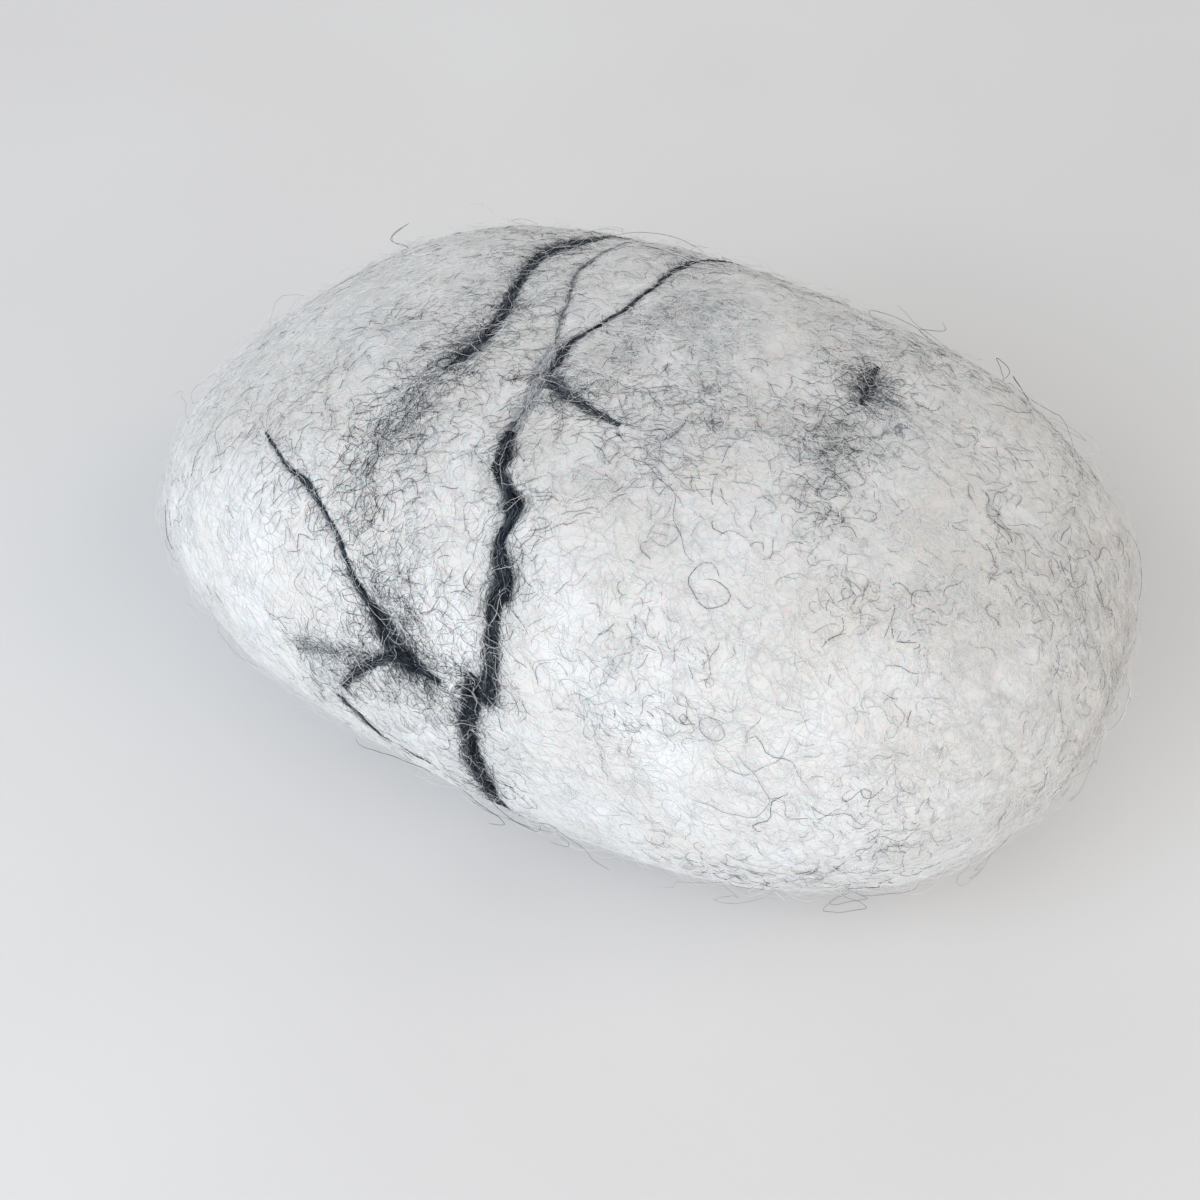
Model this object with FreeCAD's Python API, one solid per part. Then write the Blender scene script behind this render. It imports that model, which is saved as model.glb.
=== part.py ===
"""Felted wool dryer pebble: a wound core, two inner batts, a white jacket and dark inlaid locks.

Millimetres. +X runs along the length towards the broad end, +Y to the back, +Z up. The origin is
on the surface that the pebble rests on, under the middle of its length and width.
"""
import FreeCAD, Part
import math
import os

# Overall size of the finished pebble.
LENGTH = 95.0
WIDTH = 62.0
HEIGHT = 44.0

# The pebble has worn itself a flat to rest on: this much is missing from its underside.
REST_FLAT_DEPTH = 0.5
FULL_HEIGHT = HEIGHT + REST_FLAT_DEPTH
MIDDLE_Z = HEIGHT - FULL_HEIGHT / 2

# Walls of the batts, from the skin inwards. What they leave in the middle is the core.
JACKET_WALL = 4.5
CROSSWISE_WALL = 3.5
LENGTHWISE_WALL = 3.5

# A dark lock stands this far proud of the skin, and is this thick for each millimetre of width,
# up to a greatest thickness that stays well inside the jacket.
LOCK_PROUD = 0.25
LOCK_THICKNESS_PER_WIDTH = 0.6
LOCK_MAX_THICKNESS = 1.4

# The pebble is a block of flats worn round, like a river stone. Each flat is named by the azimuth
# and elevation that it faces, in degrees, and its distance from the middle of a unit pebble,
# which is then stretched to size. A higher EDGE_SHARPNESS leaves the edges less rounded.
EDGE_SHARPNESS = 5.0
FLATS = {
    "broad end": (0, 0, 1.05),
    "broad end, back corner": (45, 0, 1.20),
    "back": (90, 0, 0.95),
    "narrow end, back corner": (135, 0, 1.25),
    "narrow end": (180, 0, 1.10),
    "narrow end, front corner": (225, 0, 1.30),
    "front": (270, 0, 0.90),
    "broad end, front corner": (315, 0, 1.10),
    "upper broad end": (0, 45, 1.10),
    "upper back": (90, 45, 1.10),
    "upper narrow end": (180, 45, 1.00),
    "upper front": (270, 45, 1.25),
    "top": (0, 90, 1.10),
    "lower broad end": (0, -45, 1.10),
    "lower back": (90, -45, 1.10),
    "lower narrow end": (180, -45, 1.15),
    "lower front": (270, -45, 1.10),
    "underside": (0, -90, 1.10),
}

# The skin's control net: points round the girth and points from end to end.
NET_GIRTH = 24
NET_LENGTH = 19
DEGREE = 3
SKIN_PATCHES = 4

# A lock's control net: points round its oval, and steps from each station to the next.
LOCK_GIRTH = 8
STEPS_PER_STATION = 4

# Stations of each lock: shares of the half length, half width and half height in percent, measured
# from the middle of the pebble, then the lock's width there in millimetres.
LOCK_STATIONS = {
    "front_vein": [
        (-15, -20, 95, 1.0), (-12, -34, 95, 1.8), (-9, -50, 93, 2.0), (-3, -70, 87, 2.4),
        (1, -84, 73, 2.2), (4, -93, 54, 2.4), (3, -97, 36, 2.4), (1, -99, 20, 3.2),
        (2, -100, 2, 2.4), (2, -97, -24, 2.2), (4, -88, -50, 1.8), (6, -76, -68, 0.9),
    ],
    "right_branch": [
        (-15, -21, 95, 0.8), (-17, -4, 95, 1.2), (-13, 8, 95, 1.2), (-10, 27, 94, 1.0),
        (-12, 47, 88, 1.2), (-10, 70, 72, 1.6), (-4, 88, 50, 1.8), (4, 97, 20, 1.6),
        (6, 98, -10, 0.8),
    ],
    "veil_branch": [
        (-19, -4, 95, 0.7), (-23, 14, 95, 0.9), (-28, 36, 90, 1.0), (-28, 56, 80, 1.0),
        (-26, 68, 68, 0.7),
    ],
    "junction_tail": [
        (-9, -27, 96, 0.7), (-3, -27, 97, 1.2), (6, -28, 98, 1.0), (15, -30, 98, 0.7),
    ],
    "back_vein": [
        (-31, -78, 73, 0.9), (-32, -64, 84, 2.0), (-34, -45, 88, 1.6), (-32, -24, 91, 2.4),
        (-33, -2, 92, 2.2), (-38, 18, 90, 1.6), (-41, 36, 85, 1.6), (-39, 56, 77, 2.6),
        (-33, 76, 62, 2.6), (-26, 91, 38, 2.6), (-20, 98, 6, 2.2), (-18, 94, -34, 1.8),
        (-18, 82, -62, 0.9),
    ],
    "left_vein": [
        (-72, -46, 60, 0.7), (-61, -62, 65, 0.8), (-50, -75, 67, 1.0), (-37, -83, 62, 1.0),
        (-27, -92, 51, 1.2), (-20, -97, 38, 2.0), (-14, -99, 30, 3.0), (-7, -100, 26, 1.2),
        (-4, -100, 25, 0.7),
    ],
    "lower_link": [
        (-15, -100, 24, 0.8), (-19, -100, 20, 1.6), (-24, -99, 10, 1.5), (-27, -99, -4, 1.0),
    ],
    "edge_strand": [
        (-29, -98, -10, 0.7), (-26, -97, -20, 1.2), (-19, -96, -28, 1.2), (-10, -96, -30, 1.0),
        (-4, -96, -29, 0.7),
    ],
    "left_haze_tuft": [
        (-41, -95, 0, 1.0), (-37, -97, 4, 2.4), (-33, -98, 4, 1.0),
    ],
    "right_smudge_tuft": [
        (37, 36, 89, 1.0), (39, 28, 91, 2.6), (41, 12, 94, 2.2), (41, -4, 95, 2.0),
        (43, -18, 94, 1.4), (46, -30, 90, 0.8),
    ],
}

# Where two locks meet, the one laid on first keeps its full width and the other butts against it.
LOCKS_BUTTED = {
    "right_branch": ["front_vein"],
    "veil_branch": ["front_vein", "right_branch"],
    "junction_tail": ["front_vein", "right_branch"],
    "lower_link": ["left_vein"],
}

PERCENT = 0.01


def direction(azimuth, elevation):
    """Unit vector that faces an azimuth and an elevation in degrees."""
    turn = math.radians(azimuth)
    rise = math.radians(elevation)
    level = math.cos(rise)
    return FreeCAD.Vector(level * math.cos(turn), level * math.sin(turn), math.sin(rise))


def worn_radius(heading):
    """Distance from the middle of the unit pebble to its skin along a heading."""
    wear = 0.0
    for azimuth, elevation, distance in FLATS.values():
        facing = heading.dot(direction(azimuth, elevation))
        if facing > 0:
            wear += (facing / distance) ** EDGE_SHARPNESS
    return wear ** (-1 / EDGE_SHARPNESS)


def unit_net():
    """Control net of the unit pebble: rings of points round X, from the narrow to the broad end."""
    net = []
    for i in range(NET_GIRTH):
        around = 2 * math.pi * i / NET_GIRTH
        row = []
        for j in range(NET_LENGTH):
            along = math.pi * j / (NET_LENGTH - 1)
            ring = math.sin(along)
            heading = FreeCAD.Vector(-math.cos(along), ring * math.cos(around),
                                     ring * math.sin(around))
            row.append(heading * worn_radius(heading))
        # The ring beside each end is level with the end point, so the skin is smooth there.
        row[1].x = row[0].x
        row[-2].x = row[-1].x
        net.append(row)
    return net


def net_surface(net):
    """B-spline skin over a control net, closed round the girth and shut at both ends."""
    girth = len(net)
    spans = len(net[0]) - DEGREE
    end_knots = DEGREE + 1
    surface = Part.BSplineSurface()
    surface.buildFromPolesMultsKnots(
        net,
        [1] * (girth + 1), [end_knots] + [1] * (spans - 1) + [end_knots],
        list(range(girth + 1)), list(range(spans + 1)),
        True, False, DEGREE, DEGREE)
    return surface


def net_solid(net):
    """Solid inside the skin over a control net, its skin sewn from equal patches round the girth."""
    girth = len(net)
    length_knots = len(net[0]) - DEGREE
    patches = []
    for k in range(SKIN_PATCHES):
        patch = net_surface(net)
        patch.segment(girth * k / SKIN_PATCHES, girth * (k + 1) / SKIN_PATCHES, 0, length_knots)
        patches.append(patch.toShape())
    shell = Part.Shell(patches)
    shell.sewShape()
    solid = Part.Solid(shell)
    if solid.Volume < 0:
        solid.reverse()
    return solid


def pebble_net(inset):
    """Control net of the pebble, or of a layer that lies an inset below the skin all over."""
    net = unit_net()
    box = net_surface(net).toShape().optimalBoundingBox(False, False)
    scale_x = (LENGTH - 2 * inset) / box.XLength
    scale_y = (WIDTH - 2 * inset) / box.YLength
    scale_z = (FULL_HEIGHT - 2 * inset) / box.ZLength
    for row in net:
        for point in row:
            point.x = (point.x - box.Center.x) * scale_x
            point.y = (point.y - box.Center.y) * scale_y
            point.z = (point.z - box.Center.z) * scale_z + MIDDLE_Z
    return net


def rest_flat_waste():
    """Block under the resting plane, which takes the rest flat off the pebble."""
    return Part.makeBox(LENGTH, WIDTH, HEIGHT, FreeCAD.Vector(-LENGTH / 2, -WIDTH / 2, -HEIGHT))


def lock_path(stations):
    """Smooth curve from the middle of the pebble's shares through a lock's stations."""
    half = FreeCAD.Vector(LENGTH, WIDTH, FULL_HEIGHT) * 0.5
    aims = []
    for share_x, share_y, share_z, _ in stations:
        aim = FreeCAD.Vector(share_x * half.x, share_y * half.y, share_z * half.z) * PERCENT
        aims.append(aim)
    path = Part.BSplineCurve()
    path.interpolate(Points=aims, Parameters=list(range(len(aims))))
    return path


def lock_points(skin, stations):
    """Points of the skin along a lock, each with the skin's outward normal and the lock's width."""
    path = lock_path(stations)
    points = []
    for step in range((len(stations) - 1) * STEPS_PER_STATION + 1):
        station = step / STEPS_PER_STATION
        before = min(int(station), len(stations) - 2)
        share = station - before
        width = stations[before][3] * (1 - share) + stations[before + 1][3] * share
        aim = path.value(station)
        u, v = skin.parameter(aim + FreeCAD.Vector(0, 0, MIDDLE_Z))
        normal = skin.normal(u, v)
        if normal.dot(aim) < 0:
            normal = normal * -1
        points.append((skin.value(u, v), normal, width))
    return points


def lock_solid(skin, stations):
    """Flattened lock of felt with rounded ends, pressed into the skin along its stations."""
    points = lock_points(skin, stations)
    # Control points stand this much further out than the oval that they draw.
    swell = 3 / (2 + math.cos(2 * math.pi / LOCK_GIRTH))
    net = [[] for _ in range(LOCK_GIRTH)]
    for i, (place, normal, width) in enumerate(points):
        ahead = points[min(i + 1, len(points) - 1)][0]
        behind = points[max(i - 1, 0)][0]
        side = normal.cross(ahead - behind).normalize()
        thickness = min(width * LOCK_THICKNESS_PER_WIDTH, LOCK_MAX_THICKNESS)
        middle = place + normal * (LOCK_PROUD - thickness / 2)
        at_end = i in (0, len(points) - 1)
        for j, row in enumerate(net):
            around = 2 * math.pi * j / LOCK_GIRTH
            across = side * (math.cos(around) * swell * width / 2)
            up = normal * (math.sin(around) * swell * thickness / 2)
            rim = middle + across + up
            if i == 0:
                row += [middle, rim]
            elif at_end:
                row += [rim, middle]
            else:
                row.append(rim)
    return net_solid(net)


def make_locks():
    """Every dark lock by name, with the later of two that meet cut back to the earlier."""
    skin = net_surface(pebble_net(0))
    locks = {name: lock_solid(skin, stations) for name, stations in LOCK_STATIONS.items()}
    for name, earlier in LOCKS_BUTTED.items():
        for other in earlier:
            locks[name] = locks[name].cut(locks[other])
    return locks


def make_pieces():
    """Every piece of the pebble by name."""
    crosswise_inset = JACKET_WALL
    lengthwise_inset = crosswise_inset + CROSSWISE_WALL
    core_inset = lengthwise_inset + LENGTHWISE_WALL
    crosswise = net_solid(pebble_net(crosswise_inset))
    lengthwise = net_solid(pebble_net(lengthwise_inset))
    core = net_solid(pebble_net(core_inset))
    pieces = make_locks()
    jacket = net_solid(pebble_net(0)).cut(rest_flat_waste()).cut(crosswise)
    for lock in pieces.values():
        jacket = jacket.cut(lock)
    pieces["outer_jacket"] = jacket
    pieces["crosswise_layer"] = crosswise.cut(lengthwise)
    pieces["lengthwise_layer"] = lengthwise.cut(core)
    pieces["core_batting"] = core
    return pieces


os.makedirs("parts", exist_ok=True)
for piece_name, piece in make_pieces().items():
    piece.exportStep("parts/" + piece_name + ".step")
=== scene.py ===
import math

import bmesh
import bpy
import numpy as np
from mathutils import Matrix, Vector, kdtree, noise
from mathutils.bvhtree import BVHTree


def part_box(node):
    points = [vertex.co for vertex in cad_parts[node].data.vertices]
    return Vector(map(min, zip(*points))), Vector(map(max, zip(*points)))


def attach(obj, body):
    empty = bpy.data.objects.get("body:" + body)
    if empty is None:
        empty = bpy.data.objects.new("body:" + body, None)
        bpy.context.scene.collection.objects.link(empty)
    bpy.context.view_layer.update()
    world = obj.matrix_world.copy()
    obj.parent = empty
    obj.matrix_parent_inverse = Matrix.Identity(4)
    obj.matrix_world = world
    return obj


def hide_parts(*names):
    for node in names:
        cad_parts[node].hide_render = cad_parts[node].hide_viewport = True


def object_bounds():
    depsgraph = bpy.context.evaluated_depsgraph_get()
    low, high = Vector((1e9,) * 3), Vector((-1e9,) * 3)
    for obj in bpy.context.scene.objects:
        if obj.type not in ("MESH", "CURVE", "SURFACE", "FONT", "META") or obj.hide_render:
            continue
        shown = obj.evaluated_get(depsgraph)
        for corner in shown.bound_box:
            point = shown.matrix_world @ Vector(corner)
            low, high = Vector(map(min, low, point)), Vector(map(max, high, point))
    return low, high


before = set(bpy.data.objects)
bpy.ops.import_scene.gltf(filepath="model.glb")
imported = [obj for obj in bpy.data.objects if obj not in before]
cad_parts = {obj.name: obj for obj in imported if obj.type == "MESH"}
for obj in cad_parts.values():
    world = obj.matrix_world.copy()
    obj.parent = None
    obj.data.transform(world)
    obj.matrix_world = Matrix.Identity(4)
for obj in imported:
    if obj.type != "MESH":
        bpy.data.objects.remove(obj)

MM = 0.001
CAD_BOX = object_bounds()
LOW, HIGH = (np.array(corner) for corner in CAD_BOX)
LAYER_LOW, LAYER_HIGH = (np.array(corner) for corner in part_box("crosswise_layer"))
# The layer under the jacket is sealed in and has no rest flat, so its middle is the pebble's.
MIDDLE = (LAYER_LOW + LAYER_HIGH) / 2
HALF = HIGH - MIDDLE
SEED = 826

# ---------------------------------------------------------------- the dark locks

# Stations of each lock: shares of the half length, half width and half height in percent from the
# middle of the pebble, then the lock's width there in millimetres. Every lock has one list for
# each strand of felt in it.
LOCKS = {
    "front_vein": [
        [(-13, -26, 97, 0.3), (-12, -37, 96, 0.5), (-11, -46, 94, 1.1), (-9, -55, 93, 1.7),
         (-9, -58, 92, 1.1), (-4, -64, 90, 1.2), (-2, -67, 89, 2.1), (-1, -71, 87, 1.1),
         (-1, -77, 83, 1.0), (1, -81, 79, 1.5),
         (3, -85, 74, 2.3), (3, -89, 68, 1.9), (4, -93, 58, 1.3), (5, -96, 48, 1.5),
         (5, -97, 41, 1.8), (5, -98, 34, 2.5), (5, -99, 28, 1.8)],
        [(1, -98, 36, 1.2), (2, -99, 29, 2.6), (1, -99, 16, 2.1), (1, -100, -1, 2.0),
         (2, -99, -15, 2.2), (3, -96, -32, 1.8), (4, -88, -52, 1.6), (6, -76, -68, 0.8)],
    ],
    "right_branch": [
        [(-13, -26, 97, 0.6), (-14, -20, 97, 1.1), (-14, -13, 97, 1.2), (-15, -4, 97, 0.7),
         (-13, 6, 97, 0.4), (-11, 17, 96, 0.35), (-11, 26, 95, 0.35), (-11, 36, 93, 0.45),
         (-12, 50, 88, 0.7), (-10, 70, 72, 0.3), (-4, 88, 50, 0.5), (4, 97, 20, 0.7),
         (6, 98, -10, 0.4)],
    ],
    "veil_branch": [
        [(-17, -8, 96, 0.5), (-21, 5, 95, 0.6), (-23, 15, 94, 0.5), (-27, 31, 89, 0.5),
         (-28, 48, 83, 0.5), (-26, 68, 68, 0.4)],
    ],
    "junction_tail": [
        [(-15, -21, 97, 1.4), (-8, -25, 98, 1.6), (-4, -27, 99, 1.0), (1, -29, 99, 0.5),
         (6, -30, 99, 0.25)],
    ],
    "back_vein": [
        [(-33, -30, 91, 0.3), (-32, -21, 91, 0.9), (-32, -10, 91, 1.2), (-33, 0, 91, 1.0),
         (-35, 10, 89, 1.2), (-37, 20, 88, 0.9), (-39, 32, 84, 1.2),
         (-40, 44, 81, 1.8), (-38, 57, 77, 2.0), (-36, 71, 66, 0.7), (-31, 85, 46, 1.4),
         (-24, 96, 14, 1.6), (-18, 94, -34, 1.4), (-18, 82, -62, 0.7)],
    ],
    "left_vein": [
        [(-62, -63, 64, 0.15), (-56, -69, 66, 0.2), (-50, -74, 67, 0.35), (-45, -77, 68, 0.6),
         (-39, -82, 66, 0.4), (-33, -88, 62, 0.5), (-28, -93, 54, 0.6), (-22, -96, 46, 1.0),
         (-19, -97, 41, 2.0), (-16, -98, 33, 3.0), (-12, -99, 29, 2.3), (-9, -99, 29, 1.2),
         (-5, -99, 27, 0.4)],
    ],
    "lower_link": [
        [(-15, -99, 29, 1.2), (-19, -99, 23, 0.8), (-25, -99, 8, 0.9), (-28, -99, -3, 0.6)],
    ],
    "edge_strand": [
        [(-30, -98, -11, 0.4), (-28, -98, -17, 0.6), (-25, -97, -23, 0.8), (-22, -96, -30, 0.7),
         (-18, -96, -31, 0.3), (-10, -96, -32, 0.2)],
    ],
    "left_haze_tuft": [
        [(-40, -97, 3, 1.2), (-34, -98, 11, 1.6), (-28, -99, 15, 1.4), (-22, -99, 24, 1.0)],
    ],
    "right_smudge_tuft": [
        [(38, 37, 89, 0.5), (38, 32, 91, 1.6), (40, 25, 92, 1.3), (40, 18, 92, 0.5)],
    ],
}

# How each lock is felted in. felt: whether its middle is one solid strand. fibres: how many lie
# along each millimetre. spread: how far they wander off beside the strand, in widths. fray: how
# many leave it along each millimetre. cover: the share of white wool that still crosses over it.
# mix: its mix of tones.
LOCK_FELTING = {
    "front_vein": dict(felt=True, fibres=26, spread=0.6, fray=6, cover=0.2, mix="black"),
    "right_branch": dict(felt=True, fibres=10, spread=0.8, fray=2, cover=0.14, mix="black"),
    "veil_branch": dict(felt=False, fibres=4, spread=1.5, fray=1, cover=0.8, mix="pale"),
    "junction_tail": dict(felt=False, fibres=12, spread=2.0, fray=9, cover=0.75, mix="black"),
    "back_vein": dict(felt=True, fibres=25, spread=0.9, fray=6, cover=0.2, mix="black"),
    "left_vein": dict(felt=True, fibres=17, spread=0.9, fray=5, cover=0.13, mix="black"),
    "lower_link": dict(felt=True, fibres=20, spread=1.0, fray=7, cover=0.2, mix="black"),
    "edge_strand": dict(felt=True, fibres=9, spread=0.8, fray=2, cover=0.2, mix="black"),
    "left_haze_tuft": dict(felt=False, fibres=7, spread=1.8, fray=5, cover=1.05, mix="dark"),
    "right_smudge_tuft": dict(felt=False, fibres=18, spread=1.9, fray=10, cover=0.75,
                              mix="dark"),
}

# Shares of blue-black, slate and silver fibre in each mix of dark wool.
MIXES = {"black": [0.56, 0.28, 0.16], "dark": [0.5, 0.3, 0.2], "grey": [0.22, 0.4, 0.38],
         "pale": [0.06, 0.3, 0.64]}

# Loose fibre that trails off a lock or lies in a sweep: its stations as above, its fibres along
# each millimetre, how much they curl in radians per millimetre, and its mix.
TRAILS = {
    "back_trail": ([(-32, -5, 91, 1.0), (-32, -22, 91, 1.5), (-34, -36, 89, 1.7),
                    (-34, -47, 87, 1.6), (-35, -56, 85, 1.3), (-34, -65, 82, 1.2),
                    (-31, -78, 75, 1.0)], 22, 0.12, "black"),
    "back_haze": ([(-31, -30, 91, 3.5), (-29, -50, 89, 4.0), (-26, -67, 84, 4.0),
                   (-21, -79, 78, 3.4), (-17, -87, 69, 2.6), (-19, -95, 50, 2.2)],
                  7, 0.4, "grey"),
    "clump_fray": ([(-22, -94, 52, 1.6), (-18, -97, 42, 2.0), (-13, -99, 31, 2.4),
                    (-8, -99, 27, 2.2), (0, -99, 25, 1.6)], 26, 0.25, "black"),
    "lower_fray": ([(-38, -98, 4, 2.4), (-30, -99, 10, 2.6), (-20, -99, 12, 3.0),
                    (-8, -99, 6, 3.0)], 8, 0.35, "grey"),
    "left_thread": ([(-72, -50, 58, 0.5), (-68, -57, 60, 0.3), (-62, -63, 64, 0.3),
                     (-52, -73, 66, 0.3)], 1.6, 0.12, "black"),
    "smudge_trail": ([(38, 30, 91, 1.6), (41, 16, 93, 2.0), (41, 0, 94, 2.4), (43, -14, 93, 2.0),
                      (46, -24, 92, 1.6), (47, -36, 90, 1.2)], 8, 0.45, "dark"),
    "tail_sweep": ([(-6, -28, 98, 2.6), (4, -32, 99, 4.0), (14, -35, 98, 5.0),
                    (26, -38, 96, 4.0)], 9, 0.1, "grey"),
    "top_nest": ([(2, -8, 99, 4.0), (14, -6, 100, 5.0), (26, -4, 98, 5.0),
                  (38, -4, 95, 3.0)], 7, 0.45, "grey"),
    "back_wisps": ([(-60, -20, 76, 4.0), (-54, -6, 79, 5.0), (-44, 2, 84, 5.0),
                    (-36, 4, 90, 3.0)], 6, 0.2, "grey"),
    "left_wisps": ([(-66, -30, 68, 4.0), (-58, -42, 72, 5.0), (-50, -50, 76, 4.0)],
                   5, 0.4, "grey"),
    "right_sweep": ([(55, 33, 83, 2.0), (63, 20, 80, 2.6), (70, 10, 76, 2.6), (78, -1, 69, 2.4),
                     (84, -7, 61, 2.2), (89, -6, 51, 1.6)], 3, 0.12, "dark"),
    "right_edge": ([(66, 74, 50, 2.0), (80, 43, 58, 2.0), (81, 26, 62, 2.0), (88, 8, 52, 2.0),
                    (92, -12, 42, 2.0)], 3, 0.15, "dark"),
    "lower_loops": ([(66, -80, 22, 3.0), (76, -76, 14, 3.6), (84, -66, 8, 3.4),
                     (80, -71, -2, 3.0), (70, -80, -2, 3.0)], 2.5, 0.6, "dark"),
    "lower_edge": ([(38, -94, -20, 2.0), (48, -89, -36, 2.0), (58, -85, -34, 2.0),
                    (68, -80, -22, 2.0), (76, -74, -16, 2.0)], 3, 0.2, "dark"),
    "mid_loop": ([(25, -88, 66, 1.2), (27, -91, 58, 1.2), (26, -94, 49, 1.4),
                  (27, -97, 33, 1.2)], 4, 0.3, "pale"),
    "upper_edge": ([(10, 66, 82, 3.0), (26, 62, 82, 3.0), (40, 58, 80, 3.0),
                    (52, 56, 76, 3.0)], 4, 0.25, "grey"),
}

# Single hairs that spring clear of the skin in loops: place as above, how many, and how high in
# millimetres.
STRAYS = [
    (-80, 48, 43, 2, 3.0), (-86, -70, 2, 2, 1.8), (-6, -88, -56, 3, 2.4), (10, -91, -50, 3, 3.0),
    (72, -68, -47, 3, 3.0), (42, 77, 64, 3, 2.6), (55, 76, 60, 3, 2.2), (66, 74, 53, 2, 2.0),
    (-37, 70, 69, 2, 1.5), (-8, 72, 75, 2, 1.5), (96, 36, 20, 1, 1.6), (-70, -60, 58, 3, 1.0),
    (-88, 20, -10, 2, 2.4), (20, 92, 10, 3, 2.6), (50, -88, 44, 3, 0.9), (30, -60, 86, 3, 0.9),
]

# Small nests of loose fibre: share of the half length, half width and half height in percent,
# radius in millimetres, and how many fibres.
TANGLES = [
    (-31, -78, 75, 1.6, 16), (-17, -96, 48, 1.8, 26), (-14, -99, 30, 1.8, 60),
    (-14, -24, 97, 1.6, 40), (39, 29, 91, 1.5, 60), (41, -1, 94, 2.0, 16), (46, -24, 92, 1.6, 12),
    (-38, 46, 80, 2.6, 50), (29, -79, 77, 3.2, 14), (60, -44, 80, 4.0, 20),
    (73, -70, 44, 4.0, 12), (43, -86, 59, 4.0, 14), (60, 60, 62, 4.5, 22), (-62, 58, 48, 4.5, 26),
    (10, 82, 58, 4.0, 24), (88, 20, 30, 4.0, 12), (30, 94, -10, 5.0, 30), (-50, 84, -14, 4.0, 26),
]

# Clouds of grey where fine dark wool was carded into the white: place as above, radius in
# millimetres, and how grey it is.
CLOUDS = [
    (-30, 10, 88, 10, 0.6), (0, 14, 98, 13, 0.65), (18, -12, 98, 10, 0.5),
    (40, 5, 94, 9, 0.55), (30, 45, 88, 9, 0.5), (-8, 60, 82, 9, 0.6), (10, -45, 96, 8, 0.25),
    (38, -55, 88, 9, 0.22), (66, -25, 78, 10, 0.3), (74, -66, 44, 8, 0.2),
    (-52, -20, 80, 8, 0.35), (-27, -60, 87, 6, 0.45),
    (-17, -90, 58, 4, 0.45), (-30, -99, 6, 4, 0.25), (-12, -99, 18, 4, 0.4),
    (30, -84, 68, 6, 0.15),
    (84, 30, 50, 9, 0.25), (40, 70, 62, 10, 0.4), (-20, 84, 50, 9, 0.4), (-66, 50, 40, 9, 0.35),
    (20, 96, 0, 10, 0.4), (-50, 80, -20, 10, 0.35), (90, -10, 10, 9, 0.25),
]


def place(shares):
    """Point beside the skin from shares of the pebble's half length, width and height."""
    return MIDDLE + HALF * np.array(shares, float) / 100


def curve_through(rows, finely):
    """Catmull-Rom curve through rows of numbers, read at the positions in finely."""
    rows = np.array(rows, float)
    before = np.clip(finely.astype(int), 0, len(rows) - 2)
    t = (finely - before)[:, None]
    ends = np.vstack([2 * rows[0] - rows[1], rows, 2 * rows[-1] - rows[-2]])
    a, b, c, d = (ends[before + k] for k in range(4))
    return 0.5 * (2 * b + (c - a) * t + (2 * a - 5 * b + 4 * c - d) * t**2
                  + (3 * b - a - 3 * c + d) * t**3)


# ---------------------------------------------------------------- the felt skin

SKIN_CUTS = 126          # edges along each side of the six patches, about 0.45 mm apart
OUTSIDE = 0.2            # a point this far from the middle is clear of the pebble
ROUTE_STEPS = 12         # points from each station of a lock to the next
SMOOTH_STEP = 1.5        # degrees between entries in the table of the smooth pebble
FELT_STEP = 0.6          # and in the finer table of the lumpy felt
FLOOR_GAP = 0.06 * MM    # what lies on the skin stays this far above the table


def smooth_pebble():
    """The pebble without its grooves: the layer under the jacket, stretched out to the skin."""
    layer = bmesh.new()
    layer.from_mesh(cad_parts["crosswise_layer"].data)
    stretch = HALF / (LAYER_HIGH - MIDDLE)
    for vertex in layer.verts:
        vertex.co = Vector(MIDDLE + (np.array(vertex.co) - MIDDLE) * stretch)
    tree = BVHTree.FromBMesh(layer)
    layer.free()
    return tree


def cast_inwards(tree, headings):
    """Distance from the middle to the outermost surface along each unit heading."""
    reach = np.zeros(len(headings))
    middle = Vector(MIDDLE)
    for i, heading in enumerate(headings):
        heading = Vector(heading)
        hit = tree.ray_cast(middle + heading * OUTSIDE, -heading)
        reach[i] = OUTSIDE - hit[3]
    return reach


class Skin:
    """How far the skin is from the middle in every direction, looked up in a table."""

    def __init__(self, tree, step):
        self.step = math.radians(step)
        azimuths = np.arange(0, 2 * math.pi + self.step / 2, self.step)
        rises = np.arange(-math.pi / 2, math.pi / 2 + self.step / 2, self.step)
        turn, rise = np.meshgrid(azimuths, rises, indexing="ij")
        headings = np.stack([np.cos(rise) * np.cos(turn), np.cos(rise) * np.sin(turn),
                             np.sin(rise)], -1)
        self.reach = cast_inwards(tree, headings.reshape(-1, 3)).reshape(turn.shape)

    def radius(self, heading):
        """Distance to the skin along unit headings, interpolated in the table."""
        turn = np.arctan2(heading[..., 1], heading[..., 0]) % (2 * math.pi) / self.step
        rise = (np.arcsin(np.clip(heading[..., 2], -1, 1)) + math.pi / 2) / self.step
        i = np.clip(turn.astype(int), 0, self.reach.shape[0] - 2)
        j = np.clip(rise.astype(int), 0, self.reach.shape[1] - 2)
        u, v = turn - i, rise - j
        return ((self.reach[i, j] * (1 - u) + self.reach[i + 1, j] * u) * (1 - v)
                + (self.reach[i, j + 1] * (1 - u) + self.reach[i + 1, j + 1] * u) * v)

    def drop(self, points):
        """The skin's points under any points, and its outward normals there."""
        heading = unit(points - MIDDLE)
        first = unit(np.cross(heading, heading[..., [1, 2, 0]] + 0.3))
        second = np.cross(heading, first)
        lean = 0.012
        here = heading * self.radius(heading)[..., None]
        beside = unit(heading + lean * first)
        above = unit(heading + lean * second)
        edge_a = beside * self.radius(beside)[..., None] - here
        edge_b = above * self.radius(above)[..., None] - here
        return here + MIDDLE, unit(np.cross(edge_a, edge_b))


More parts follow.
